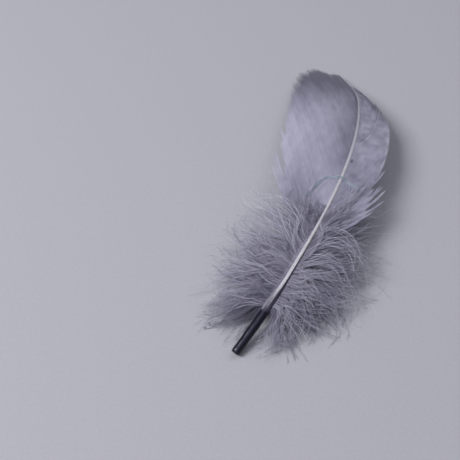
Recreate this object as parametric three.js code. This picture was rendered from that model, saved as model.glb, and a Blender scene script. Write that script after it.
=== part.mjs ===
// A goose quill feather that lies on a surface with its top side up. Millimetres.
// +Y runs from the cut quill to the tip, +X is the feather's right, +Z is up.
// The origin is under the middle of the feather, on the surface that it lies on.
import * as THREE from 'three';

// Driving dimensions
const CHORD = 148; // the straight line that the shaft's bow and arch are measured from, along +Y
const SHAFT_END = 141.5; // how far along that line the shaft's tip is
const SWEEP = 13.0; // how far the shaft bows to the right of that line
const SWEEP_LEAN = 0.63; // how much of the bow is moved towards the tip
const SWEEP_POWER = 2.9; // the higher it is, the nearer to the tip that part of the bow lies
const HOOK = 2.2; // how far the tip bends back to the left of that bow
const HOOK_START = 131; // along the chord
const HOOK_END = 146;
const CROWN = 12; // how high the feather arches between the ends of that line
const CROWN_FLATNESS = 2.3; // 2 is a parabola, more is flatter on top and steeper at the ends
const QUILL_END_HEIGHT = 1.65; // the shaft's middle above the surface at the cut end
const TIP_HEIGHT = 3.7; // and at the far end
const CAMBER_RADIUS = 92; // of the arch across the webs
const VANE_THICKNESS = 0.5;
const GAP = 0.3; // left between neighbouring pieces
const BORE_DEPTH = 26; // of the hollow in the quill
const QUILL_WALL = 0.35;
const DOWN_LOFT = 2.2; // how far the down stands above the shaft's level
const DOWN_THICKNESS = 4.5; // near the shaft, where the down arches clear of the surface
const DOWN_FALL = 0.85; // share of the shaft's height that the down loses on its way to the tips
const DOWN_REST = 0.7; // share of the way to the tips from which the down lies on the surface

// Shaft diameters, as [distance from the cut end, diameter]
const SHAFT_WIDTHS = [[0, 3.3], [17, 3.3], [25, 2.9], [32, 2.0], [42, 1.55], [60, 1.35], [80, 1.24],
  [100, 1.16], [120, 1.06], [133, 0.85], [141.5, 0.4]];

// Where the barbs end, as [distance of the root along the chord, tip's distance from the shaft's line,
// tip's distance along the chord]
const LEFT_BARBS = [[18, 16, 6], [22, 24, 16], [30, 30.5, 36], [40, 32.3, 66], [50, 31.2, 96],
  [60, 30, 118], [70, 28.8, 131], [80, 25.1, 140], [90, 20.4, 145.5], [97, 16.6, 149.8],
  [104, 12.8, 152.4], [110, 10, 151.2], [116, 7.4, 150.2], [122, 4.7, 150.5], [128, 2.6, 150.5],
  [133, 1.9, 148.4], [137, 1.3, 145.4], [140, 1, 143.4]];
const RIGHT_BARBS = [[18, 15, 5], [22, 23, 14], [30, 28.5, 31], [40, 25.8, 56], [50, 17, 83],
  [55, 14.2, 93.5], [60, 13.9, 102.5], [70, 13.3, 113.5], [80, 11.8, 122], [90, 9.3, 128],
  [100, 6.9, 131.3], [110, 5.1, 134.7], [120, 3.4, 137.6], [128, 2.2, 139.6], [134, 1.4, 141],
  [140, 1, 142.4]];
const BARB_CURL = 0.3; // share of a barb's forward run that is made in its inner half

const DOWN_START = 18; // the first downy barb's root, along the chord
const VANE_START = 54; // the first barb of the closed web
const VANE_END = 139; // and the last one
const ROOT_GAP = 0.8; // between the last downy root and the first root of the web

// A smooth curve through [position, value, ...] stations
function through(stations, position, column = 1) {
  const last = stations.length - 1;
  const at = THREE.MathUtils.clamp(position, stations[0][0], stations[last][0]);
  const next = Math.max(1, stations.findIndex((station) => station[0] >= at));
  const slope = (index) => {
    const before = stations[Math.max(index - 1, 0)];
    const after = stations[Math.min(index + 1, last)];
    return (after[column] - before[column]) / (after[0] - before[0]);
  };
  const span = stations[next][0] - stations[next - 1][0];
  const u = (at - stations[next - 1][0]) / span;
  const rise = u * u * (3 - 2 * u);
  return stations[next - 1][column] * (1 - rise) + stations[next][column] * rise
    + span * slope(next - 1) * u * (1 - u) * (1 - u) - span * slope(next) * u * u * (1 - u);
}

// The shaft's bow to the right, and the height of its middle
function shaftX(y) {
  const s = Math.max(y, 0) / CHORD;
  const bow = SWEEP * 4 * s * (1 - s) * (1 + SWEEP_LEAN * s ** SWEEP_POWER);
  return bow - HOOK * THREE.MathUtils.smoothstep(y, HOOK_START, HOOK_END);
}

function shaftZ(y) {
  const s = Math.max(y, 0) / CHORD;
  const ends = THREE.MathUtils.lerp(QUILL_END_HEIGHT, TIP_HEIGHT, s);
  return ends + CROWN * (1 - Math.abs(2 * s - 1) ** CROWN_FLATNESS);
}

// Half the shaft's width, and its direction
function shaftRadius(y) {
  return through(SHAFT_WIDTHS, y) / 2;
}

function shaftDirection(y) {
  const step = 0.01;
  const ahead = new THREE.Vector3(shaftX(y + step), y + step, shaftZ(y + step));
  return ahead.sub(new THREE.Vector3(shaftX(y), y, shaftZ(y))).normalize();
}

// The webs' surface: the shaft's arch, and the camber across it
function webPoint(side, out, y) {
  return new THREE.Vector3(shaftX(y) + side * out, y, shaftZ(y) - out * out / (2 * CAMBER_RADIUS));
}

// A barb as seen from above: it leaves the shaft steeply and then bends towards the tip
function barbPoint(side, tips, root, share) {
  const start = shaftRadius(root) + GAP;
  const out = THREE.MathUtils.lerp(start, through(tips, root, 1), share);
  const run = through(tips, root, 2) - root;
  const forward = run * (2 * BARB_CURL * share * (1 - share) + share * share);
  return { side, out, y: root + forward, share };
}

function geometryFrom(points, triangles) {
  const geometry = new THREE.BufferGeometry();
  geometry.setAttribute('position', new THREE.Float32BufferAttribute(points.flatMap((p) => p.toArray()), 3));
  geometry.setIndex(triangles.flat());
  geometry.computeVertexNormals();
  return geometry;
}

// A closed body through rings of points, each ring turning from +X to +Z while the rings run along +Y
function loft(rings) {
  const count = rings[0].length;
  const points = rings.flat();
  const triangles = [];
  for (let ring = 0; ring < rings.length - 1; ring += 1) {
    for (let side = 0; side < count; side += 1) {
      const here = ring * count + side;
      const beside = ring * count + (side + 1) % count;
      triangles.push([here, here + count, beside], [beside, here + count, beside + count]);
    }
  }
  for (const [ring, first, second] of [[0, 0, 1], [rings.length - 1, 1, 0]]) {
    const middle = new THREE.Vector3();
    rings[ring].forEach((point) => middle.addScaledVector(point, 1 / count));
    points.push(middle);
    for (let side = 0; side < count; side += 1) {
      const corner = (shift) => ring * count + (side + shift) % count;
      triangles.push([points.length - 1, corner(first), corner(second)]);
    }
  }
  return geometryFrom(points, triangles);
}

// A closed body between an upper and a lower sheet of points. Rows run towards the tip, and columns
// run away from the shaft on the given side.
function slab(upper, lower, side) {
  const rows = upper.length;
  const columns = upper[0].length;
  const points = [...upper.flat(), ...lower.flat()];
  const below = rows * columns;
  const triangles = [];
  const quad = (a, b, c, d) => triangles.push([a, b, c], [a, c, d]);
  for (let row = 0; row < rows - 1; row += 1) {
    for (let column = 0; column < columns - 1; column += 1) {
      const a = row * columns + column;
      quad(a, a + 1, a + columns + 1, a + columns);
      quad(below + a, below + a + columns, below + a + columns + 1, below + a + 1);
    }
  }
  for (let row = 0; row < rows - 1; row += 1) {
    const inner = row * columns;
    const outer = inner + columns - 1;
    quad(inner, inner + columns, below + inner + columns, below + inner);
    quad(outer, below + outer, below + outer + columns, outer + columns);
  }
  for (let column = 0; column < columns - 1; column += 1) {
    const first = column;
    const last = (rows - 1) * columns + column;
    quad(first, below + first, below + first + 1, first + 1);
    quad(last, last + 1, below + last + 1, below + last);
  }
  const facing = side > 0 ? triangles : triangles.map(([a, b, c]) => [a, c, b]);
  return geometryFrom(points, facing);
}

function barbRows(side, tips, firstRoot, lastRoot, rowCount, columnCount) {
  return Array.from({ length: rowCount + 1 }, (_, row) => {
    const root = THREE.MathUtils.lerp(firstRoot, lastRoot, row / rowCount);
    return Array.from({ length: columnCount + 1 }, (_, column) => (
      barbPoint(side, tips, root, column / columnCount)));
  });
}

// The shaft: a hollow quill that is cut off square, and the solid rachis that it runs into
function quillGeometry() {
  const sides = 14;
  const ring = (y, radius) => {
    const ahead = shaftDirection(y);
    const across = new THREE.Vector3(1, 0, 0).addScaledVector(ahead, -ahead.x).normalize();
    const up = new THREE.Vector3().crossVectors(across, ahead);
    return Array.from({ length: sides }, (_, side) => {
      const angle = 2 * Math.PI * side / sides;
      return new THREE.Vector3(shaftX(y), y, shaftZ(y))
        .addScaledVector(across, radius * Math.cos(angle))
        .addScaledVector(up, radius * Math.sin(angle));
    });
  };
  const boreRings = [1, 0.93, 0.6, 0.3, 0].map((share) => {
    const y = share * BORE_DEPTH;
    const taper = share === 1 ? 0.45 : 1;
    return ring(y, (shaftRadius(y) - QUILL_WALL) * taper);
  });
  const stepCount = 46;
  const outerRings = Array.from({ length: stepCount + 1 }, (_, step) => {
    const y = SHAFT_END * step / stepCount;
    return ring(y, shaftRadius(y));
  });
  return loft([...boreRings, ...outerRings]);
}

// A closed web: a thin sheet whose rows follow the barbs
function vaneGeometry(side, tips) {
  const rows = barbRows(side, tips, VANE_START, VANE_END, 32, 7);
  const sheet = (offset) => rows.map((row) => row.map(({ out, y }) => (
    webPoint(side, out, y).add(new THREE.Vector3(0, 0, offset)))));
  return slab(sheet(VANE_THICKNESS / 2), sheet(-VANE_THICKNESS / 2), side);
}

// The down: a thick blanket whose rows follow the downy barbs to their tips. It arches down from the
// shaft to the surface and is flat where it lies on it.
function downGeometry(side, tips) {
  const rows = barbRows(side, tips, DOWN_START, VANE_START - ROOT_GAP, 14, 8);
  const upper = rows.map((row) => row.map(({ out, y, share }) => {
    const point = webPoint(side, out, y);
    point.z = point.z * (1 - DOWN_FALL * share ** 1.5) + DOWN_LOFT * Math.sin(Math.PI * share);
    return point;
  }));
  const lower = rows.map((row) => row.map(({ out, y, share }) => {
    const hollow = Math.max(0, shaftZ(y) - DOWN_THICKNESS) * Math.max(0, 1 - (share / DOWN_REST) ** 2);
    return webPoint(side, out, y).setZ(hollow);
  }));
  return slab(upper, lower, side);
}

const horn = new THREE.MeshStandardMaterial({ color: 0xb9b7c2, roughness: 0.32, metalness: 0 });
const web = new THREE.MeshStandardMaterial({ color: 0x8f8da4, roughness: 0.75, metalness: 0 });
const fluff = new THREE.MeshStandardMaterial({ color: 0x9a98b0, roughness: 0.95, metalness: 0 });

function piece(name, geometry, material) {
  const mesh = new THREE.Mesh(geometry, material);
  mesh.name = name;
  return mesh;
}

const LEFT = -1;
const RIGHT = 1;

const group = new THREE.Group();
group.add(
  piece('quill', quillGeometry(), horn),
  piece('vane_left', vaneGeometry(LEFT, LEFT_BARBS), web),
  piece('vane_right', vaneGeometry(RIGHT, RIGHT_BARBS), web),
  piece('down_left', downGeometry(LEFT, LEFT_BARBS), fluff),
  piece('down_right', downGeometry(RIGHT, RIGHT_BARBS), fluff),
);

// The feather is set down with its middle over the origin and its lowest point on the surface
const box = new THREE.Box3().setFromObject(group);
const middle = box.getCenter(new THREE.Vector3());
group.position.set(-middle.x, -middle.y, -box.min.z);

export default group;
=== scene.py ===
import math

import bpy
import numpy as np
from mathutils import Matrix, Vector


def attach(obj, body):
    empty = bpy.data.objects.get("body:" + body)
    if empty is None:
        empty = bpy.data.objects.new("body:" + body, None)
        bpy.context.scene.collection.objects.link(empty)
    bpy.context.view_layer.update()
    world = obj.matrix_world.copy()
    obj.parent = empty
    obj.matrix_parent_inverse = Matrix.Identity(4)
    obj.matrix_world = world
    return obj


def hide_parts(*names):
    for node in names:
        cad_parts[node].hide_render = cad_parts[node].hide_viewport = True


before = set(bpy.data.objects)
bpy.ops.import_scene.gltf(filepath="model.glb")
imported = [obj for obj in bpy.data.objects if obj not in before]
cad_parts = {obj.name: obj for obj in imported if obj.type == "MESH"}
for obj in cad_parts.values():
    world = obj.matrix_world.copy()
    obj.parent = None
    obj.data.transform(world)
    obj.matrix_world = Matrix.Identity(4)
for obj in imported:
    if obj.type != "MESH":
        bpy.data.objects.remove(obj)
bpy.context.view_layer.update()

MM = 0.001
FULL_TURN = 2 * math.pi
LEFT = -1
RIGHT = 1

# The feather's form, in its own layout, which has the cut quill at its origin and the chord along Y.
# The shaft bows to the right, and SWEEP_LEAN and SWEEP_POWER make the bow fuller towards the tip
CHORD = 148.0
SWEEP = 13.0
SWEEP_LEAN = 0.63
SWEEP_POWER = 2.9
# Its end turns back to the left by HOOK, between these two places along the chord
HOOK = 2.2
HOOK_START = 131.0
HOOK_END = 146.0
# It arches over the surface by CROWN, and a greater flatness makes the arch flatter on top
CROWN = 12.0
CROWN_FLATNESS = 2.3
QUILL_END_HEIGHT = 1.65
TIP_HEIGHT = 3.7
# The webs curve down from the shaft with this radius
CAMBER_RADIUS = 92.0
# The down stands DOWN_LOFT above the webs' surface halfway out, and DOWN_FALL is the share of its height
# that it loses towards the tips of its barbs
DOWN_LOFT = 2.2
DOWN_FALL = 0.85
# A barb is a quadratic curve, and this is how far forward its middle handle is. 0.5 would be straight
BARB_CURL = 0.3
# Where things start and end along the chord
DOWN_START = 18.0
VANE_START = 54.0
VANE_END = 139.0
SHAFT_END = 141.5

# The shaft's width: (along the chord, width)
SHAFT_WIDTHS = [(0, 3.3), (17, 3.3), (25, 2.9), (32, 2.0), (42, 1.55), (60, 1.35), (80, 1.24),
                (100, 1.16), (120, 1.06), (133, 0.85), (141.5, 0.4)]

# Where the barbs end: (root along the chord, tip's distance from the shaft, tip along the chord)
LEFT_BARBS = [(18, 16, 6), (22, 24, 16), (30, 30.5, 36), (40, 32.3, 66), (50, 31.2, 96), (60, 30, 118),
              (70, 28.8, 131), (80, 25.1, 140), (90, 20.4, 145.5), (97, 16.6, 149.8), (104, 12.8, 152.4),
              (110, 10, 151.2), (116, 7.4, 150.2), (122, 4.7, 150.5), (128, 2.6, 150.5),
              (133, 1.9, 148.4), (137, 1.3, 145.4), (140, 1, 143.4)]
RIGHT_BARBS = [(18, 15, 5), (22, 23, 14), (30, 28.5, 31), (40, 25.8, 56), (50, 17, 83), (55, 14.2, 93.5),
               (60, 13.9, 102.5), (70, 13.3, 113.5), (80, 11.8, 122), (90, 9.3, 128), (100, 6.9, 131.3),
               (110, 5.1, 134.7), (120, 3.4, 137.6), (128, 2.2, 139.6), (134, 1.4, 141), (140, 1, 142.4)]
BARBS = {LEFT: LEFT_BARBS, RIGHT: RIGHT_BARBS}

# How far the webs' surface goes up and down where it is rumpled
RUMPLE = {LEFT: 0.10, RIGHT: 0.34}
RUMPLE_SEED = {LEFT: 11, RIGHT: 12}

# Where the layout's origin, the middle of the cut end seen from above, is in the frame
LAYOUT_ORIGIN = np.array([-8.289, -75.832, 0.0])


# Curves and surfaces

def through(stations, at, column=1):
    """A smooth curve through (position, value, ...) stations."""
    table = np.array(stations, float)
    position, value = table[:, 0], table[:, column]
    index = np.arange(len(table))
    before, after = np.maximum(index - 1, 0), np.minimum(index + 1, len(table) - 1)
    slope = (value[after] - value[before]) / (position[after] - position[before])
    at = np.clip(at, position[0], position[-1])
    upper = np.clip(np.searchsorted(position, at), 1, len(table) - 1)
    lower = upper - 1
    span = position[upper] - position[lower]
    u = (at - position[lower]) / span
    rise = u * u * (3 - 2 * u)
    bend = slope[lower] * u * (1 - u) ** 2 - slope[upper] * u * u * (1 - u)
    return value[lower] * (1 - rise) + value[upper] * rise + span * bend


def smoothstep(low, high, x):
    """Runs smoothly from 0 where x is low to 1 where x is high. low may be the greater of the two."""
    u = np.clip((x - low) / (high - low), 0, 1)
    return u * u * (3 - 2 * u)


def crumple(u, v, size, seed):
    """Smooth random hills and hollows over a plane, about size across, from -1 to 1."""
    cells = 64
    lattice = np.random.default_rng(seed).uniform(-1, 1, (cells, cells))
    i, j = np.floor(u / size).astype(int), np.floor(v / size).astype(int)
    a, b = smoothstep(0, 1, u / size - i), smoothstep(0, 1, v / size - j)
    i, j, i_next, j_next = i % cells, j % cells, (i + 1) % cells, (j + 1) % cells
    near = lattice[i, j] * (1 - a) + lattice[i_next, j] * a
    far = lattice[i, j_next] * (1 - a) + lattice[i_next, j_next] * a
    return near * (1 - b) + far * b


def shaft_x(y):
    """How far to the right of the chord the shaft's line is."""
    s = np.maximum(y, 0) / CHORD
    bow = SWEEP * 4 * s * (1 - s) * (1 + SWEEP_LEAN * s ** SWEEP_POWER)
    return bow - HOOK * smoothstep(HOOK_START, HOOK_END, y)


def shaft_z(y):
    """The height of the shaft's line above the surface."""
    s = np.maximum(y, 0) / CHORD
    ends = QUILL_END_HEIGHT * (1 - s) + TIP_HEIGHT * s
    return ends + CROWN * (1 - np.abs(2 * s - 1) ** CROWN_FLATNESS)


def shaft_radius(y):
    """Half the shaft's width."""
    return through(SHAFT_WIDTHS, y) / 2


def web_z(out, y):
    """The height of the webs' surface, at a distance out from the shaft's line."""
    return shaft_z(y) - out * out / (2 * CAMBER_RADIUS)


def rumple(side, out, y, share):
    """How far the webs' surface is off its smooth form. It is smooth where it meets the shaft."""
    seed = RUMPLE_SEED[side]
    wave = crumple(out, y, 6.0, seed) + 0.45 * crumple(out, y, 2.6, seed + 1)
    return RUMPLE[side] * wave * smoothstep(0.02, 0.3, share)


def barb_plan(side, root, share, start):
    """Distance from the shaft's line, and distance along the chord, along a barb that starts at the
    distance start from the shaft's line."""
    tip_out, tip_y = through(BARBS[side], root, 1), through(BARBS[side], root, 2)
    out = start + (tip_out - start) * share
    forward = (tip_y - root) * (2 * BARB_CURL * share * (1 - share) + share * share)
    return out, root + forward


def unit(vectors):
    """The same directions at length 1."""
    return vectors / np.maximum(np.linalg.norm(vectors, axis=-1, keepdims=True), 1e-9)


# Meshes

# A stem has this many sides, and a barbule this many points
STEM_SIDES = 3
BARBULE_POINTS = 5


def placed(points):
    """Points of the layout, in the frame and in metres."""
    return (points + LAYOUT_ORIGIN) * MM


def make_object(name, points, faces, uv, attributes, material, smooth=True):
    """A mesh from arrays. faces is a list of arrays of corners, each with its own corner count; uv has
    places on the map OFBake, one per vertex or one per corner; attributes are numbers per vertex."""
    mesh = bpy.data.meshes.new(name)
    corners = np.concatenate([f.ravel() for f in faces]).astype(np.int32)
    counts = np.concatenate([np.full(len(f), f.shape[1]) for f in faces]).astype(np.int32)
    starts = np.concatenate([[0], np.cumsum(counts)[:-1]]).astype(np.int32)
    mesh.vertices.add(len(points))
    mesh.vertices.foreach_set("co", placed(points).astype(np.float32).ravel())
    mesh.loops.add(len(corners))
    mesh.loops.foreach_set("vertex_index", corners)
    mesh.polygons.add(len(counts))
    mesh.polygons.foreach_set("loop_start", starts)
    mesh.update(calc_edges=True)
    mesh.polygons.foreach_set("use_smooth", np.full(len(counts), smooth))
    layer = mesh.uv_layers.new(name="OFBake")
    corner_uv = uv if len(uv) == len(corners) else uv[corners]
    layer.uv.foreach_set("vector", corner_uv.astype(np.float32).ravel())
    for key, values in attributes.items():
        attribute = mesh.attributes.new(key, "FLOAT", "POINT")
        attribute.data.foreach_set("value", values.astype(np.float32))
    mesh.materials.append(material)
    mesh.validate()
    made = bpy.data.objects.new(name, mesh)
    bpy.context.scene.collection.objects.link(made)
    return made


def frames_along(path):
    """Three directions at every point of paths: ahead, to the side and up."""
    ahead = unit(np.gradient(path, axis=1))
    beside = unit(np.cross(ahead, np.array([0.0, 0, 1])))
    return ahead, beside, np.cross(beside, ahead)


def stems(path, radius):
    """Three-sided tapering stems along paths."""
    count, steps, _ = path.shape
    _, beside, up = frames_along(path)
    angle = np.array([0.5, 0.5 + 2 / 3, 0.5 + 4 / 3]) * math.pi
    ring = beside[:, :, None] * np.cos(angle)[:, None] + up[:, :, None] * np.sin(angle)[:, None]
    points = path[:, :, None] + ring * radius[:, :, None, None]
    i, j, k = np.meshgrid(np.arange(count), np.arange(steps - 1), np.arange(STEM_SIDES), indexing="ij")
    a = (i * steps + j) * STEM_SIDES + k
    b = (i * steps + j) * STEM_SIDES + (k + 1) % STEM_SIDES
    quads = np.stack([a, a + STEM_SIDES, b + STEM_SIDES, b], -1).reshape(-1, 4)
    return points.reshape(-1, 3), quads


# Materials

class Nodes:
    """Short ways to make a material's nodes."""

    def __init__(self, name):
        self.material = bpy.data.materials.new(name)
        self.material.use_nodes = True
        self.tree = self.material.node_tree
        self.tree.nodes.clear()
        self.output = self.add("ShaderNodeOutputMaterial")

    def add(self, kind, **settings):
        """A new node with these settings."""
        node = self.tree.nodes.new(kind)
        for key, value in settings.items():
            setattr(node, key, value)
        return node

    def link(self, source, target):
        self.tree.links.new(source, target)

    def feed(self, socket, value):
        """Gives a socket a number, a colour or what comes out of another node."""
        if isinstance(value, (int, float)):
            socket.default_value = value
        elif isinstance(value, tuple):
            socket.default_value = (*value, 1)
        else:
            self.link(value, socket)

    def attribute(self, name):
        """A number that the mesh has at its vertices."""
        return self.add("ShaderNodeAttribute", attribute_name=name).outputs["Fac"]

    def math(self, operation, *values, clamp=False):
        """What one operation makes of numbers or of other nodes' outputs. clamp keeps it from 0 to 1."""
        node = self.add("ShaderNodeMath", operation=operation, use_clamp=clamp)
        for socket, value in zip(node.inputs, values):
            self.feed(socket, value)
        return node.outputs[0]

    def ramp(self, factor, stops):
        """Colours by a factor. The stops are (position, colour)."""
        node = self.add("ShaderNodeValToRGB")
        elements = node.color_ramp.elements
        while len(elements) < len(stops):
            elements.new(0.5)
        for element, (position, colour) in zip(elements, stops):
            element.position = position
            element.color = (*colour, 1)
        self.link(factor, node.inputs[0])
        return node.outputs[0]

    def mix(self, factor, first, second, blend="MIX"):
        """Two colours mixed. Inputs 6 and 7 and output 2 are the node's colour sockets."""
        node = self.add("ShaderNodeMix", data_type="RGBA", blend_type=blend)
        for index, value in ((0, factor), (6, first), (7, second)):
            self.feed(node.inputs[index], value)
        return node.outputs[2]

    def noise(self, vector, scale, detail=2.0, roughness=0.5):
        """Smooth noise from 0 to 1."""
        node = self.add("ShaderNodeTexNoise")
        node.inputs["Scale"].default_value = scale
        node.inputs["Detail"].default_value = detail
        node.inputs["Roughness"].default_value = roughness
        self.link(vector, node.inputs["Vector"])
        return node.outputs["Fac"]

    def streaks(self, u, u_scale, v, v_scale, detail=2.0, roughness=0.5):
        """Noise over two numbers, finer along the one with the greater scale."""
        point = self.add("ShaderNodeCombineXYZ")
        self.link(self.math("MULTIPLY", u, u_scale), point.inputs["X"])
        self.link(self.math("MULTIPLY", v, v_scale), point.inputs["Y"])
        return self.noise(point.outputs[0], 1.0, detail, roughness)

    def varied(self, value, noise, amount):
        """A number that noise moves by up to half the amount either way."""
        return self.math("ADD", value, self.math("MULTIPLY", self.math("SUBTRACT", noise, 0.5), amount))

    def rise(self, value, low, high):
        """Runs evenly from 0 where the value is low to 1 where it is high."""
        return self.math("MULTIPLY", self.math("SUBTRACT", value, low), 1 / (high - low), clamp=True)

    def between(self, factor, low, high):
        """A number that runs from low to high as the factor runs from 0 to 1."""
        return self.math("ADD", self.math("MULTIPLY", factor, high - low), low, clamp=True)

    def principled(self, colour, roughness, **inputs):
        """A shader whose roughness comes from nodes. The other inputs are plain numbers."""
        node = self.add("ShaderNodeBsdfPrincipled")
        self.link(colour, node.inputs["Base Color"])
        self.link(roughness, node.inputs["Roughness"])
        for key, value in inputs.items():
            node.inputs[key.replace("_", " ")].default_value = value
        return node

    def bump(self, body, height, depth):
        """Relief of the given depth, in millimetres, on a shader."""
        node = self.add("ShaderNodeBump")
        node.inputs["Distance"].default_value = depth * MM
        self.link(height, node.inputs["Height"])
        self.link(node.outputs[0], body.inputs["Normal"])

    def opaque(self, body):
        """Ends a material that is one shader."""
        self.link(body.outputs[0], self.output.inputs["Surface"])
        return self.material

    def let_light_through(self, body, colour, share):
        """Ends a material by mixing in light that crosses a thin fibre."""
        across = self.add("ShaderNodeBsdfTranslucent")
        self.link(colour, across.inputs["Color"])
        both = self.add("ShaderNodeMixShader")
        both.inputs[0].default_value = share
        self.link(body.outputs[0], both.inputs[1])
        self.link(across.outputs[0], both.inputs[2])
        self.link(both.outputs[0], self.output.inputs["Surface"])
        return self.material


# How barbs of the webs and of the down shine
FIBRE = {"Sheen_Weight": 0.2, "Sheen_Roughness": 0.5, "Specular_IOR_Level": 0.35}

# The dyed colours, from the darkest tone to the lightest. The painted shade and light of the webs and
# the down run along them too
WEB_COLOURS = [
    (0.0, (0.10, 0.098, 0.145)),
    (0.4, (0.235, 0.23, 0.315)),
    (0.8, (0.40, 0.39, 0.50)),
    (1.0, (0.495, 0.485, 0.60)),
]
DOWN_COLOURS = [
    (0.0, (0.13, 0.125, 0.19)),
    (0.5, (0.34, 0.33, 0.44)),
    (1.0, (0.66, 0.65, 0.76)),
]


def web_material():
    """The closed web: dyed barbs side by side. along runs out along a barb, row counts the barbs, and
    shade is how light the web is painted: its dye, with painted shade and painted light in it."""
    n = Nodes("feather_web")
    along, row, shade = n.attribute("along"), n.attribute("row"), n.attribute("shade")
    streaks = n.streaks(along, 2.0, row, 90.0, 3.0, 0.6)
    barbules = n.streaks(along, 90.0, row, 320.0)
    tone = n.varied(shade, streaks, 0.20)
    colour = n.ramp(n.math("MULTIPLY", tone, 0.8), WEB_COLOURS)
    body = n.principled(colour, n.between(streaks, 0.5, 0.7), **FIBRE)
    n.bump(body, n.math("ADD", streaks, n.math("MULTIPLY", barbules, 0.4)), 0.03)
    return n.let_light_through(body, colour, 0.15)


def down_material():
    """Loose down. shade is each strand's tone, with painted shade in it, and along runs from its root to
    its tip. The roots are darker as painted shade beside the shaft.
    """
    n = Nodes("feather_down")
    along, shade = n.attribute("along"), n.attribute("shade")
    # Painted shade at the roots, beside the shaft
    root_shade = n.math("MULTIPLY", n.math("SUBTRACT", 0.14, along), 2.2, clamp=True)
    tone = n.math("ADD", n.math("MULTIPLY", shade, 0.85), n.math("MULTIPLY", along, 0.14))
    tone = n.math("SUBTRACT", tone, root_shade)
    colour = n.ramp(tone, DOWN_COLOURS)
    body = n.principled(colour, n.between(tone, 0.7, 0.5), **FIBRE)
    return n.let_light_through(body, colour, 0.25)


def horn_side(n, along, beside, fine, ragged, silver):
    """The shaft beside its stripe: dusky, as painted shade over the horn's own colour, and paler to the
    left of the stripe as painted light, then tan further up, still painted shade over its own warm
    colour, and at last as silver as the stripe."""
    tan_from = (35, 47)
    silver_from = (62, 90)
    # Dusky: painted shade over the horn's own dark colour
    dusky = n.ramp(fine, [(0.3, (0.035, 0.033, 0.055)), (0.75, (0.075, 0.07, 0.105))])
    # Paler to the left of the stripe: painted light on the flank that faces the key light
    lit_left_flank = n.mix(n.rise(along, 21, 26), (0.21, 0.205, 0.26), (0.16, 0.155, 0.21))
    dusky = n.mix(n.rise(beside, -0.3, -0.9), dusky, lit_left_flank)
    # Tan: painted shade on the right flank over the horn's own warm colour
    tan = n.ramp(fine, [(0.2, (0.18, 0.165, 0.16)), (0.8, (0.27, 0.255, 0.25))])
    side = n.mix(n.rise(ragged, *tan_from), dusky, tan)
    return n.mix(n.rise(along, *silver_from), side, silver)


def horn_dipped(n, off_stripe, fine, grain):
    """The quill where it was dipped in dye: near black, with a painted highlight in the stripe's line."""
    dark = n.ramp(fine, [(0.3, (0.002, 0.002, 0.006)), (0.75, (0.009, 0.008, 0.022))])
    # A painted highlight: a soft bluish-grey streak along the stripe's line, broken up by the grain
    dip_highlight = n.math("SUBTRACT", 0.9, off_stripe)
    dip_highlight = n.math("MULTIPLY", dip_highlight, n.math("SUBTRACT", grain, 0.2), clamp=True)
    return n.mix(dip_highlight, dark, (0.17, 0.17, 0.27))


def horn_material():
    """The shaft: indigo black where it was dipped in dye, with a painted highlight along the dip's top,
    then dusky, tan and silver. A silver white stripe along its top is a painted highlight on the pale
    horn, and the dusky and tan shaft beside it is painted shade over the horn's own colour, paler to the
    left of the stripe as painted light. along is the distance from the cut end and away the way around
    the shaft from the middle of the stripe, both in millimetres. beside is away with a sign, more than 0
    to the right of the stripe, and turn goes once up and down around the shaft."""
    dip_end = (16.1, 17.3)
    stripe_start = (17, 27)
    n = Nodes("quill_horn")
    along, turn = n.attribute("along"), n.attribute("turn")
    away, beside = n.attribute("away"), n.attribute("beside")
    fine = n.streaks(along, 0.35, turn, 9.0, 3.0)
    grain = n.streaks(along, 1.6, beside, 2.5, 3.0, 0.6)
    ragged = n.varied(along, fine, 9.0)
    off_stripe = n.math("ADD", away, n.math("MULTIPLY", grain, 0.5))
    silver = n.ramp(fine, [(0.25, (0.47, 0.46, 0.50)), (0.8, (0.68, 0.67, 0.73))])
    silver = n.mix(n.rise(along, 60, 150), silver, (0.25, 0.245, 0.295))
    side = horn_side(n, along, beside, fine, ragged, silver)
    grained = n.mix(grain, silver, (0.55, 0.54, 0.58), "MULTIPLY")
    # The stripe: a painted highlight on the pale horn
    stripe = n.math("MULTIPLY", n.math("SUBTRACT", 0.85, off_stripe), 5.0, clamp=True)
    stripe = n.math("MULTIPLY", stripe, n.rise(ragged, *stripe_start))
    dry = n.rise(n.varied(along, grain, 2.0), *dip_end)
    colour = n.mix(dry, horn_dipped(n, off_stripe, fine, grain), n.mix(stripe, side, grained))
    body = n.principled(colour, n.between(grain, 0.12, 0.36), Specular_IOR_Level=0.35)
    n.bump(body, n.math("ADD", fine, n.math("MULTIPLY", grain, 0.5)), 0.04)
    return n.opaque(body)


def lint_material():
    """A dull blue-green thread."""
    n = Nodes("lint")
    pale = n.noise(n.add("ShaderNodeTexCoord").outputs["Object"], 800.0)
    colour = n.ramp(pale, [(0.3, (0.28, 0.34, 0.41)), (0.7, (0.35, 0.42, 0.49))])
    return n.opaque(n.principled(colour, n.between(pale, 0.5, 0.8)))


def floor_material():
    """Pale grey card."""
    n = Nodes("floor_card")
    grain = n.noise(n.add("ShaderNodeTexCoord").outputs["Object"], 900.0)
    colour = n.ramp(grain, [(0.3, (0.33, 0.33, 0.375)), (0.7, (0.35, 0.35, 0.395))])
    return n.opaque(n.principled(colour, n.between(grain, 0.7, 0.9)))


# The shaft

SHAFT_SIDES = 28
SHAFT_STEPS = 190
BORE_DEPTH = 26.0
BORE_WALL = 0.35
# The bore's rings from its bottom to the cut end: their depth and their width, as shares of the bore's
BORE_PLACES = np.array([1, 0.97, 0.8, 0.6, 0.4, 0.2, 0.0])
BORE_WIDTHS = np.array([0.3, 0.8, 1, 1, 1, 1, 1])
# Angles around the shaft, from its right side over its top
SHAFT_TURN = np.linspace(0, FULL_TURN, SHAFT_SIDES, endpoint=False)


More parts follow.
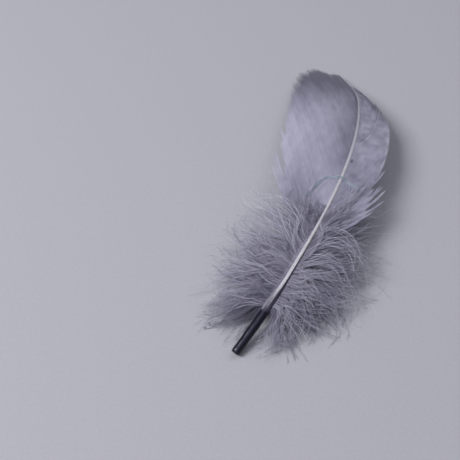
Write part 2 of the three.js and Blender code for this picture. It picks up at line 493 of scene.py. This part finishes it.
def shaft_rings(y, radius, square, groove):
    """Rings of points around the shaft's line. square, from 0 to 1, makes a ring less round, and groove
    presses in the middle of its underside by that share of its radius."""
    ahead_y = y + 0.05
    centre = np.stack([shaft_x(y), y, shaft_z(y)], -1)
    ahead = unit(np.stack([shaft_x(ahead_y), ahead_y, shaft_z(ahead_y)], -1) - centre)
    across = unit(np.array([1.0, 0, 0]) - ahead * ahead[:, :1])
    up = np.cross(across, ahead)
    cos, sin = np.cos(SHAFT_TURN)[None], np.sin(SHAFT_TURN)[None]
    power = 1 / (2 + 1.4 * square[:, None])
    wide = np.sign(cos) * np.abs(cos) ** (2 * power)
    high = np.sign(sin) * np.abs(sin) ** (2 * power)
    high = high + groove[:, None] * np.exp(-((cos / 0.34) ** 2)) * (sin < 0)
    return (centre[:, None] + across[:, None] * (wide * radius[:, None])[..., None]
            + up[:, None] * (high * radius[:, None])[..., None])


def tube_faces(count, sides):
    """Quads between rings of points and a cap at each end, and the places of their corners on the map."""
    row, column = np.meshgrid(np.arange(count - 1), np.arange(sides), indexing="ij")
    after = (column + 1) % sides
    quads = np.stack([row * sides + column, (row + 1) * sides + column,
                      (row + 1) * sides + after, row * sides + after], -1).reshape(-1, 4)
    cap_in = np.arange(sides)[None]
    cap_out = ((count - 1) * sides + np.arange(sides))[None, ::-1]
    quad_uv = np.stack([np.stack([column, column, column + 1, column + 1], -1) / sides,
                        np.stack([row, row + 1, row + 1, row], -1) / (count - 1)], -1).reshape(-1, 2)
    around = np.arange(sides) / sides
    cap_uv = [np.stack([around, np.zeros(sides)], -1), np.stack([around[::-1], np.ones(sides)], -1)]
    return [quads, cap_in, cap_out], np.concatenate([quad_uv, *cap_uv])


def shaft_attributes(along):
    """The numbers that horn_material uses. The stripe, a painted highlight, is on top of the quill, and
    further up the shaft it turns towards the left side, which faces the key light."""
    # The painted highlight leans towards the lit left side further up
    lean = 38 * smoothstep(28, 50, along) + 9 * smoothstep(14, 18, along) * smoothstep(29, 22, along)
    stripe_at = np.radians(84 + lean)[:, None]
    half_turn = FULL_TURN / 2
    beside = shaft_radius(along)[:, None] * (half_turn - (SHAFT_TURN - stripe_at + half_turn) % FULL_TURN)
    return {
        "along": np.repeat(along, SHAFT_SIDES),
        "away": np.abs(beside).ravel(),
        "beside": beside.ravel(),
        "turn": np.tile(np.sin(SHAFT_TURN) + 0.3 * np.cos(SHAFT_TURN), len(along)),
    }


def shaft_piece():
    """A hollow, cut quill that runs into a solid rachis with a groove along its underside."""
    y_in = BORE_DEPTH * BORE_PLACES
    plain = np.zeros(len(y_in))
    inner = shaft_rings(y_in, (shaft_radius(y_in) - BORE_WALL) * BORE_WIDTHS, plain, plain)
    y_out = SHAFT_END * np.linspace(0, 1, SHAFT_STEPS)
    ripple = 0.012 * np.sin(y_out * 1.9) + 0.01 * np.sin(y_out * 0.73 + 1)
    blunt = 1 - 0.10 * np.exp(-y_out / 0.25)
    radius = shaft_radius(y_out) * (1 + ripple * smoothstep(40, 10, y_out)) * blunt
    outer = shaft_rings(y_out, radius, smoothstep(18, 45, y_out), 0.45 * smoothstep(24, 40, y_out))
    points = np.concatenate([inner, outer]).reshape(-1, 3)
    along = np.concatenate([y_in, y_out])
    faces, uv = tube_faces(len(along), SHAFT_SIDES)
    return make_object("quill_shaft", points, faces, uv, shaft_attributes(along), horn_material())


# The webs

BARB_SPACING = 0.30
BARB_STEPS = 38
# The four lines of points of a web's barb: where they are between its root and the next one's, and how
# far they are above the web's surface, which makes a low ridge
STRIP_PLACES = np.array([-0.15, 0.22, 0.6, 1.15])
STRIP_HEIGHTS = np.array([0.0, 0.025, 0.0, -0.03])
# A dark speck on the narrow web: its distance to the right of the shaft's line, and along the chord
SPECK_OUT = 1.4
SPECK_Y = 91.0
# A seam where the barbs of the narrow web part: a pale line of painted highlight, with a dark line of
# painted shade in the gap further from the quill. It comes nearest to the quill at the barb with this
# root, at SEAM_SHARE of the barb's length
SEAM_ROOT = 90.2
SEAM_SHARE = 0.72
SEAM_CURVE = 24.0
SEAM_WIDTH = 0.6
SEAM_TO_DARK = 1.9


def seam_shade(along, root):
    """What the seam adds to the narrow web's shade: a painted highlight and painted shade in the gap."""
    past = root - SEAM_ROOT - SEAM_CURVE * (along - SEAM_SHARE) ** 2
    # The pale line is a painted highlight and the dark one painted shade in the gap
    pale = 0.20 * np.exp(-(past / SEAM_WIDTH) ** 2)
    dark = 0.22 * np.exp(-((past - SEAM_TO_DARK) / SEAM_WIDTH) ** 2)
    return (pale - dark) * smoothstep(0.1, 0.3, along)


def wide_web_shade(along, root, out, y):
    """How light the left web is painted, 0 to 1: its dye, with painted shade at the feather's tip, which
    turns away from the light, near the shaft higher up and where the web meets the down, and painted
    light on its outer part, which faces the key light."""
    # Painted shade at the tip, near the shaft and over the down, and painted light on the outer part
    tip = smoothstep(112, 150, y)
    shade_near_shaft = smoothstep(0.68, 0.0, along) * smoothstep(66, 95, root)
    shade_over_down = smoothstep(70, 50, root) * smoothstep(0.9, 0.3, along)
    outer = smoothstep(0.55, 0.85, along) * smoothstep(118, 100, y)
    mottle = 0.05 * crumple(out, y, 9.0, seed=41) + 0.08 * crumple(out, y / 2, 2.1, seed=44)
    mottle = mottle + 0.06 * crumple(out, y / 2, 0.9, seed=45)
    return 0.77 - 0.95 * tip - 0.56 * shade_near_shaft - 0.42 * shade_over_down + 0.13 * outer + mottle


def narrow_web_shade(along, root, out, y):
    """How light the right web is painted, 0 to 1: its dye, with painted shade at the tip and along the
    tip's edge, a painted highlight along the rim and on creases, the seam, darker low down, and a dark
    speck.
    """
    # Painted shade at the tip and along its edge, and a painted highlight along the rim
    tip = smoothstep(108, 138, y)
    lowest = smoothstep(95, 72, y)
    shaded_tip_edge = smoothstep(0.8, 0.98, along) * smoothstep(115, 127, y)
    rim = smoothstep(0.88, 0.98, along) * smoothstep(122, 114, y)
    mottle = 0.13 * crumple(out, y, 3.2, seed=42) + 0.15 * crumple(out, y, 1.5, seed=43)
    # Creases: thin painted highlights along the crinkles
    creases = smoothstep(0.14, 0.0, np.abs(crumple(out, y, 4.5, seed=46))) * smoothstep(0.1, 0.4, along)
    speck = np.exp(-(((out - SPECK_OUT) / 0.5) ** 2 + ((y - SPECK_Y) / 0.8) ** 2))
    shade = 0.63 - 0.32 * tip - 0.10 * lowest - 0.38 * shaded_tip_edge + 0.25 * rim
    return shade + mottle + 0.16 * creases + seam_shade(along, root) - 0.8 * speck


WEB_SHADE = {LEFT: wide_web_shade, RIGHT: narrow_web_shade}


def bunches_of(count, rng, mean_size):
    """Neighbouring barbs hold together in bunches. Returns the number of each barb's bunch."""
    sizes = rng.integers(mean_size // 3, mean_size * 2, count)
    return np.repeat(np.arange(count), sizes)[:count]


def per_barb(values):
    """One number per barb, ready for arrays of barbs by steps by lines."""
    return values[:, None, None]


def barb_reach(rng, roots, bunch):
    """How long each barb is, as a share of its nominal length. The lowest ones are cut shorter."""
    reach = 1 + rng.normal(0, 0.010, bunch.max() + 1)[bunch] + rng.normal(0, 0.005, len(roots))
    return reach - 0.35 * rng.random(len(roots)) * smoothstep(VANE_START + 4, VANE_START - 6, roots)


def strip_roots(roots, bunch, pulls, loose, phase, share):
    """The root that each point of the strips follows a barb from. Strips narrow at their tips and where
    they are loose, bunches draw together outwards, and loose barbs sway."""
    middle = np.array([roots[bunch == k].mean() for k in range(bunch.max() + 1)])[bunch]
    narrow = (1 - 0.75 * smoothstep(0.94, 1.0, share)) * (1 - 0.6 * loose)
    root = per_barb(roots) + BARB_SPACING * (0.5 + (STRIP_PLACES - 0.5) * narrow)
    root = root + per_barb(middle - roots) * pulls * share ** 3
    return root + loose * 0.9 * np.sin(phase + 9 * share)


def strip_height(side, out, y, reached, share, radius, lift):
    """The height of the strips, which have a ridge, follow the rumpled web and rise to the shaft."""
    z = web_z(out, y) + STRIP_HEIGHTS * (1 - 0.5 * share) + lift * share ** 2
    z = z + 0.55 * radius * np.exp(-np.maximum(out - radius, 0) / 1.1)
    return z + rumple(side, out, y, reached)


def strip_quads(count, steps, lines):
    """Quads between the points of strips, each of steps by lines points."""
    i, j, k = np.meshgrid(np.arange(count), np.arange(steps - 1), np.arange(lines - 1), indexing="ij")
    a = (i * steps + j) * lines + k
    return np.stack([a, a + lines, a + lines + 1, a + 1], -1).reshape(-1, 4)


def vane_piece(name, side, material, seed, pull):
    """A web of barbs, each a narrow strip that overlaps its neighbour. Its lowest barbs are loose where
    they leave the shaft. pull is how far a bunch may draw together."""
    rng = np.random.default_rng(seed)
    roots = np.arange(VANE_START - 7, VANE_END, BARB_SPACING)
    count = len(roots)
    bunch = bunches_of(count, rng, mean_size=11)
    bunches = bunch.max() + 1
    pulls = per_barb((pull * rng.random(bunches) ** 2.2)[bunch])
    lift = per_barb(rng.normal(0, 0.06, bunches)[bunch])
    reach = per_barb(barb_reach(rng, roots, bunch))
    phase = rng.uniform(0, FULL_TURN, (count, 1, 1))
    share = (np.linspace(0, 1, BARB_STEPS) ** 0.92)[None, :, None]
    low_barbs = per_barb(smoothstep(VANE_START + 3, VANE_START - 7, roots))
    loose = low_barbs * smoothstep(0.75, 0.3, share)
    root = strip_roots(roots, bunch, pulls, loose, phase, share)
    reached = share * reach * np.ones_like(root)
    radius = per_barb(shaft_radius(roots))
    out, y = barb_plan(side, root, reached, radius * 0.55)
    z = strip_height(side, out, y, reached, share, radius, lift)
    z = z + loose * 0.5 * np.sin(phase * 3 + 7 * share)
    points = np.stack([shaft_x(y) + side * out, y, z], -1).reshape(-1, 3)
    quads = strip_quads(count, BARB_STEPS, len(STRIP_PLACES))
    if side == LEFT:
        # The points are mirrored, so the corners go the other way round for the faces to face up
        quads = quads[:, ::-1]
    row = (root - roots[0]) / (roots[-1] - roots[0])
    uv = np.stack([reached * 0.94 + 0.02, row * 0.96 + 0.02], -1).reshape(-1, 2)
    own = rng.normal(0, 0.03, count) + rng.normal(0, 0.035, bunches)[bunch]
    shade = WEB_SHADE[side](reached, root, out, y) + per_barb(own)
    attributes = {"along": reached.ravel(), "row": root.ravel() / 100, "shade": shade.ravel()}
    return make_object(name, points, [quads], uv, attributes, material)


# The down

# The layers of the down on each side. locks and each count the barbs, steps the points along a barb, and
# roots is where they start along the chord. reach is their length as a share of the nominal, and web_cut
# how much shorter they are over the web. level is their height as a share of the down's, and above is how
# far over the web they lie. turn and bend, in radians, say how the locks stray, and curl how far they
# wander. stem is a barb's radius at root and tip. barbules counts those on a side of a barb, size is
# their length and lean their angle to it. tone is how light the barbs are, which in the deep layer is
# low as painted shade inside the down
LAYERS = {
    # The thick of the down, painted darker as shade inside it
    "deep": {
        "locks": 54, "each": 5, "steps": 20, "roots": (DOWN_START, VANE_START + 4),
        "reach": (0.7, 1.1), "web_cut": {LEFT: 0.78, RIGHT: 0.6}, "level": (0.15, 0.9), "above": 0.3,
        "turn": 0.30, "bend": 0.2, "curl": 1.1, "stem": (0.055, 0.015),
        "barbules": 80, "size": 2.3, "lean": 0.75, "tone": 0.27,
    },
    # Lighter and longer ones that lie over it
    "plumes": {
        "locks": 56, "each": 5, "steps": 20, "roots": (DOWN_START + 1, VANE_START + 6),
        "reach": (0.8, 1.15), "web_cut": {LEFT: 0.78, RIGHT: 0.3}, "level": (0.65, 1.15), "above": 0.3,
        "turn": 0.34, "bend": 0.25, "curl": 1.4, "stem": (0.06, 0.02),
        "barbules": 80, "size": 1.5, "lean": 0.5, "tone": 0.54,
    },
    # Loose single barbs
    "wisps": {
        "locks": 50, "each": 4, "steps": 20, "roots": (DOWN_START, VANE_START + 2),
        "reach": (0.7, 1.15), "web_cut": {LEFT: 0.8, RIGHT: 0.3}, "level": (0.5, 1.3), "above": 0.3,
        "turn": 0.45, "bend": 0.4, "curl": 1.5, "stem": (0.075, 0.03),
        "barbules": 24, "size": 1.0, "lean": 0.5, "tone": 0.86,
    },
    # Short fluffy barbs that lie on the web near the shaft, where the down ends
    "felt": {
        "locks": 44, "each": 3, "steps": 8, "roots": (VANE_START - 10, VANE_START + 10),
        "reach": (0.1, 0.4), "web_cut": {LEFT: 0.7, RIGHT: 0.6}, "level": (0.7, 1.0), "above": -0.15,
        "turn": 0.25, "bend": 0.4, "curl": 0.7, "stem": (0.03, 0.015),
        "barbules": 34, "size": 1.5, "lean": 0.7, "tone": 0.52,
    },
}
BARBULE_WIDTH = 0.05
# How light the down is that lies on the webs. On the left it is low, as painted shade where the web
# meets the down
WEB_LIGHTNESS = {LEFT: 0.45, RIGHT: 1.15}
# A downy barb that would reach further from the shaft than this is shorter, so that it reaches past this
# by less than the spread
FREE_REACH = 28.0
SPREAD = 8.0
# The lowest that any of the down lies above the surface
LOWEST_BARB = 0.12
LOWEST_BARBULE = 0.05


def down_top(share, out, y):
    """The height of the down's top side."""
    return web_z(out, y) * (1 - DOWN_FALL * share ** 1.5) + DOWN_LOFT * np.sin(math.pi * share)


def curls(rng, lead, share, sizes):
    """Smooth wander along barbs, of the given (waves, size) pairs, that grows towards their tips."""
    wander = 0
    for waves, size in sizes:
        phase = rng.uniform(0, FULL_TURN, (*lead, 1, 3))
        rate = waves * rng.uniform(0.7, 1.4, (*lead, 1, 3))
        wander = wander + size * np.sin(FULL_TURN * rate * share[:, None] + phase)
    strength = rng.uniform(0.4, 1.4, (*lead, 1, 1))
    return wander * strength * share[:, None] ** 1.4


def swung(out, y, start, roots, turn):
    """Barbs turned about their roots, by an angle that may change along them."""
    run_out, run_y = out - start, y - roots
    out = start + run_out * np.cos(turn) - run_y * np.sin(turn)
    return out, roots + run_out * np.sin(turn) + run_y * np.cos(turn)


def held_back(out, y, start, roots):
    """Barbs made shorter where they would reach too far from the shaft."""
    over = np.maximum(out[..., -1:] - FREE_REACH, 0)
    held = 1 - (over - SPREAD * (1 - np.exp(-over / SPREAD))) / (FREE_REACH + over)
    return start + (out - start) * held, roots + (y - roots) * held


def down_height(out, y, roots, nominal, share, level, web, above):
    """The height of downy barbs, which rise from the shaft's shoulder to the down or onto the web."""
    on_web = web_z(out, y) + above + 0.5 * level
    height = web * on_web + (1 - web) * level * down_top(nominal, out, y)
    settle = smoothstep(0, 0.4, share)
    shoulder = shaft_z(roots) + 0.25 * shaft_radius(roots)
    return shoulder * (1 - settle) + height * settle


def locks_of(side, rng, layer):
    """The barbs of a layer, which leave the shaft in locks of a few: their roots, how far each lies on
    the web from 0 to 1, their reach and level, and the angles by which they turn and bend. All are
    arrays of locks by barbs by one."""
    locks, each = layer["locks"], layer["each"]
    low, high = layer["roots"]
    lock_root = low + (high - low) * (np.arange(locks) + rng.random(locks)) / locks
    roots = (lock_root[:, None] + rng.uniform(-0.7, 0.7, (locks, each)))[..., None]
    web = smoothstep(VANE_START - 8, VANE_START + 2, roots)
    reach = rng.uniform(*layer["reach"], (locks, 1)) * rng.uniform(0.75, 1.0, (locks, each))
    reach = reach[..., None] * (1 - layer["web_cut"][side] * web)
    level = rng.uniform(*layer["level"], (locks, 1)) + rng.normal(0, 0.06, (locks, each))
    turn = rng.normal(0, layer["turn"], (locks, 1)) + rng.normal(0, 0.07, (locks, each))
    bend = rng.normal(0, layer["bend"], (locks, 1)) + rng.normal(0, 0.15, (locks, each))
    return roots, web, reach, level[..., None], turn[..., None], bend[..., None]


def down_lightness(side, rng, roots, web, level):
    """How light each barb is: lighter higher up, as painted shade deeper in the down, different for each
    lock, darker low down by the left of the quill as painted shade, and as light on the webs as
    WEB_LIGHTNESS says."""
    # Lower barbs darker: painted shade deep in the down
    lightness = level + rng.normal(0, 0.4, (len(level), 1, 1))
    if side == LEFT:
        # Painted shade low down on the left of the quill
        lightness = lightness - 0.7 * smoothstep(34, 24, roots)
    return (lightness * (1 - 0.6 * web) + WEB_LIGHTNESS[side] * web).ravel()


def down_paths(side, rng, layer, share):
    """The ways of a layer's barbs, an array of barbs by steps by three, and how light each barb is."""
    roots, web, reach, level, turn, bend = locks_of(side, rng, layer)
    start = shaft_radius(roots) * 0.75
    nominal = share * reach
    out, y = barb_plan(side, roots, nominal, start)
    turn = turn * smoothstep(0, 0.5, share) + bend * share ** 2
    out, y = swung(out, y, start, roots, turn * (1 - 0.8 * web))
    out, y = held_back(out, y, start, roots)
    z = down_height(out, y, roots, nominal, share, level, web, layer["above"])
    path = np.stack([shaft_x(np.clip(y, 0, CHORD)) + side * out, y, z], -1)
    locks, each = layer["locks"], layer["each"]
    curl = layer["curl"] * (1 - 0.75 * web[..., None])
    path = path + curl * curls(rng, (locks, 1), share, ((0.7, 2.0), (1.5, 0.8)))
    path = path + curl * curls(rng, (locks, each), share, ((1.0, 0.6), (2.2, 0.2)))
    path[..., 2] = np.maximum(path[..., 2], LOWEST_BARB + 0.3 * rng.random((locks, each, 1)))
    return path.reshape(-1, len(share), 3), down_lightness(side, rng, roots, web, level)


def sampled(values, place):
    """What values along barbs are at places, which are shares of the barbs' lengths."""
    last = values.shape[1] - 1
    at = place * last
    low = np.clip(at.astype(int), 0, last - 1)
    part = (at - low)[..., None]
    barb = np.arange(len(values))[:, None, None]
    return values[barb, low] * (1 - part) + values[barb, low + 1] * part


def barbules(path, rng, per_side, size, lean):
    """Fine barbules along both sides of each path, two straight pieces each, as flat tapering strips.
    They stand in tufts, which share how they are rolled around the barb, how open and how long they are.
    Returns points, quads, triangles, and each barbule's place as a share of its barb."""
    count = len(path)
    place = (np.arange(per_side)[None, :, None] + rng.random((count, per_side, 2))) / per_side
    place = 0.04 + 0.955 * place
    origin = sampled(path, place)
    along, side_way, up_way = (sampled(way, place) for way in frames_along(path))
    sign = np.array([-1.0, 1.0])[None, None, :, None]
    phase = rng.uniform(0, FULL_TURN, (count, 1, 2))
    tuft = np.sin(FULL_TURN * place * rng.uniform(3, 7, (count, 1, 2)) + phase)
    roll = (0.1 + 0.5 * tuft + rng.normal(0, 0.35, place.shape))[..., None]
    radial = side_way * sign * np.cos(roll) + up_way * np.sin(roll)
    open_angle = (lean + 0.15 * tuft + rng.normal(0, 0.13, place.shape))[..., None]
    first = unit(along * np.cos(open_angle) + radial * np.sin(open_angle))
    second = unit(first + 0.7 * along + np.array([0, 0, -0.2]) + rng.normal(0, 0.22, first.shape))
    fade = (0.12 + 0.88 * (1 - place) ** 0.55) * (0.25 + 0.75 * smoothstep(0, 0.12, place))
    span = size * fade * (1 + 0.3 * tuft) * rng.uniform(0.7, 1.2, place.shape)
    middle = origin + first * (0.5 * span)[..., None]
    tip = middle + second * (0.55 * span)[..., None]
    flat = unit(np.cross(first, rng.normal(0, 1, first.shape))) * BARBULE_WIDTH / 2
    points = np.stack([origin - flat, origin + flat, middle - 0.75 * flat, middle + 0.75 * flat, tip], -2)
    points[..., 2] = np.maximum(points[..., 2], LOWEST_BARBULE)
    start = np.arange(place.size)[:, None] * BARBULE_POINTS
    return points.reshape(-1, 3), start + np.array([0, 1, 3, 2]), start + np.array([2, 3, 4]), place


def down_uv(along, shade, stem_points, barbule_count):
    """Places on the map by length and tone, which is what the colour depends on. The corners of a face
    are set a little apart, so that it has an area there."""
    aside = np.concatenate([np.tile([-0.01, 0.0, 0.01], stem_points // STEM_SIDES),
                            np.tile(0.008 * np.array([-1, 1, -0.75, 0.75, 0]), barbule_count)])
    onward = np.concatenate([np.zeros(stem_points), np.tile([0, 0, 0.01, 0.01, 0.02], barbule_count)])
    return np.stack([0.02 + 0.94 * along + onward, np.clip(shade + aside, 0.001, 0.999)], -1)


def down_piece(name, side, material, seed, layer):
    """One layer of the down on one side: barbs with barbules, in their own tones."""
    rng = np.random.default_rng(seed)
    steps = layer["steps"]
    share = np.linspace(0, 1, steps)
    path, lightness = down_paths(side, rng, layer, share)
    count = len(path)
    thick, thin = layer["stem"]
    radius = (thick * (1 - share) + thin * share) * rng.uniform(0.8, 1.2, (count, 1))
    stem_points, stem_quads = stems(path, radius)
    fine_points, fine_quads, fine_tips, place = barbules(path, rng, layer["barbules"], layer["size"],
                                                         layer["lean"])
    tone = np.clip(layer["tone"] + 0.32 * (lightness - 0.7) + rng.normal(0, 0.08, count), 0.03, 0.8)
    fine_tone = np.clip(tone[:, None, None] + rng.normal(-0.05, 0.08, place.shape), 0.01, 0.98)
    stem_along = np.repeat(np.tile(share, count), STEM_SIDES)
    stem_tone = np.repeat(np.clip(tone + 0.18, 0, 0.98), steps * STEM_SIDES)
    along = np.concatenate([stem_along, np.repeat(place.ravel(), BARBULE_POINTS)])
    shade = np.concatenate([stem_tone, np.repeat(fine_tone.ravel(), BARBULE_POINTS)])
    uv = down_uv(along, shade, len(stem_points), place.size)
    points = np.concatenate([stem_points, fine_points])
    faces = [stem_quads, fine_quads + len(stem_points), fine_tips + len(stem_points)]
    attributes = {"along": along, "shade": shade}
    return make_object(name, points, faces, uv, attributes, material, smooth=False)


# The thread

# The thread's line: (distance to the right of the shaft's line, distance along the chord)
THREAD = np.array([(-9.2, 68), (-8.9, 69.4), (-7.7, 74.6), (-5.6, 79), (-2.6, 80.5), (0, 80.7),
                   (2.6, 79.8), (5.3, 78.6), (8.9, 78.4), (9.6, 78.6)])
THREAD_FIBRES = 7
THREAD_STEPS = 60
THREAD_RADIUS = 0.075
THREAD_SEED = 50
# About how far the webs reach from the shaft where the thread crosses them
REACH_AT_THREAD = {LEFT: 28, RIGHT: 13}


def thread_height(across, y):
    """The height of a fibre that lies over the webs and the shaft, a little higher at its left end."""
    out = np.abs(across)
    left = rumple(LEFT, out, y, out / REACH_AT_THREAD[LEFT])
    right = rumple(RIGHT, out, y, out / REACH_AT_THREAD[RIGHT])
    over_shaft = (shaft_radius(y) + 0.1) * np.exp(-(across / 1.6) ** 4)
    raised = 0.1 + 0.2 * smoothstep(-5, -9, across)
    return web_z(out, y) + np.where(across < 0, left, right) + raised + over_shaft


def lint_piece():
    """A stray, loosely spun thread that lies in a low arc over the webs."""
    rng = np.random.default_rng(THREAD_SEED)
    knots = np.linspace(0, 1, len(THREAD))
    at = np.linspace(0, 1, THREAD_STEPS)
    aside = rng.uniform(-0.6, 0.6, (THREAD_FIBRES, 2, 1))
    phase = rng.uniform(0, FULL_TURN, (THREAD_FIBRES, 2, 1))
    rate = rng.uniform(1.5, 4, (THREAD_FIBRES, 2, 1))
    stray = aside + 0.3 * np.sin(FULL_TURN * rate * at + phase)
    across = through(np.column_stack([knots, THREAD[:, 0]]), at) + stray[:, 0]
    y = through(np.column_stack([knots, THREAD[:, 1]]), at) + stray[:, 1]
    path = np.stack([shaft_x(y) + across, y, thread_height(across, y)], -1)
    points, quads = stems(path, np.full((THREAD_FIBRES, THREAD_STEPS), THREAD_RADIUS))
    fibre = np.repeat(np.arange(THREAD_FIBRES), THREAD_STEPS * STEM_SIDES)
    around = np.tile([0.2, 0.5, 0.8], THREAD_FIBRES * THREAD_STEPS)
    along = np.tile(np.repeat(at, STEM_SIDES), THREAD_FIBRES)
    uv = np.stack([along, (fibre + around) / THREAD_FIBRES], -1)
    return make_object("lint_thread", points, [quads], uv, {}, lint_material())


# The camera looks from the angle of the photograph, and the feather lies where the photograph has it.
# Its distance and target are in millimetres, in the layout
CAMERA_AZIMUTH = 19.87
CAMERA_ELEVATION = 50
CAMERA_DISTANCE = 418.8
CAMERA_TARGET = np.array([-21.23, 53.60, 0.0])
LENS = 85
SENSOR = 36
# Half the floor's width, in metres
FLOOR_HALF = 3.0


def from_feather(azimuth, elevation):
    """The direction from the feather to a camera or light, by angles in degrees. Azimuth 0 is on the
    side of the cut end, and it grows towards the right."""
    a, e = math.radians(azimuth), math.radians(elevation)
    return Vector((math.sin(a) * math.cos(e), -math.cos(a) * math.cos(e), math.sin(e)))


def add_camera():
    """The camera of the photograph."""
    data = bpy.data.cameras.new("camera")
    data.lens = LENS
    data.sensor_width = SENSOR
    data.clip_start = 0.01
    data.clip_end = 10
    camera = bpy.data.objects.new("camera", data)
    back = from_feather(CAMERA_AZIMUTH, CAMERA_ELEVATION)
    camera.location = Vector(placed(CAMERA_TARGET)) + back * CAMERA_DISTANCE * MM
    camera.rotation_mode = "QUATERNION"
    camera.rotation_quaternion = (-back).to_track_quat("-Z", "Y")
    bpy.context.scene.collection.objects.link(camera)
    bpy.context.scene.camera = camera


def add_area(name, azimuth, elevation, distance, size, power, colour):
    """A square soft light that faces the feather. Its distance and size are in metres."""
    data = bpy.data.lights.new(name, "AREA")
    data.size = size
    data.energy = power
    data.color = colour
    light = bpy.data.objects.new(name, data)
    back = from_feather(azimuth, elevation)
    light.location = back * distance
    light.rotation_mode = "QUATERNION"
    light.rotation_quaternion = back.to_track_quat("Z", "Y")
    bpy.context.scene.collection.objects.link(light)


def add_floor():
    """The pale surface, wide enough to fill the picture."""
    mesh = bpy.data.meshes.new("floor")
    half = FLOOR_HALF
    corners = [(-half, -half, 0), (half, -half, 0), (half, half, 0), (-half, half, 0)]
    mesh.from_pydata(corners, [], [(0, 1, 2, 3)])
    mesh.materials.append(floor_material())
    floor = bpy.data.objects.new("floor", mesh)
    bpy.context.scene.collection.objects.link(floor)


def add_world():
    """Even, slightly cool light from all around."""
    world = bpy.data.worlds.new("studio")
    world.use_nodes = True
    sky = world.node_tree.nodes["Background"]
    sky.inputs["Color"].default_value = (0.93, 0.94, 1.0, 1)
    sky.inputs["Strength"].default_value = 0.24
    bpy.context.scene.world = world


add_camera()
add_floor()
add_world()
add_area("key", azimuth=-55, elevation=50, distance=1.1, size=0.6, power=13, colour=(1.0, 0.99, 0.98))
add_area("fill", azimuth=150, elevation=60, distance=1.2, size=0.9, power=4, colour=(0.95, 0.96, 1.0))
bpy.context.scene.view_settings.view_transform = "Standard"

web = web_material()
down = down_material()
shaft = shaft_piece()
vane_left = vane_piece("vane_left_barbs", LEFT, web, seed=11, pull=0.08)
vane_right = vane_piece("vane_right_barbs", RIGHT, web, seed=12, pull=0.2)
made = [
    (shaft, "quill", "quill_horn"),
    (vane_left, "vane_left", "feather_web"),
    (vane_right, "vane_right", "feather_web"),
]
for side, node, first_seed in ((LEFT, "down_left", 20), (RIGHT, "down_right", 30)):
    for seed, (name, layer) in enumerate(LAYERS.items(), first_seed):
        piece = down_piece(f"{node}_{name}", side, down, seed, layer)
        made.append((piece, node, "feather_down"))

for piece, node, slot in made:
    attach(piece, "root")
    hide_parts(node)

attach(lint_piece(), "root")
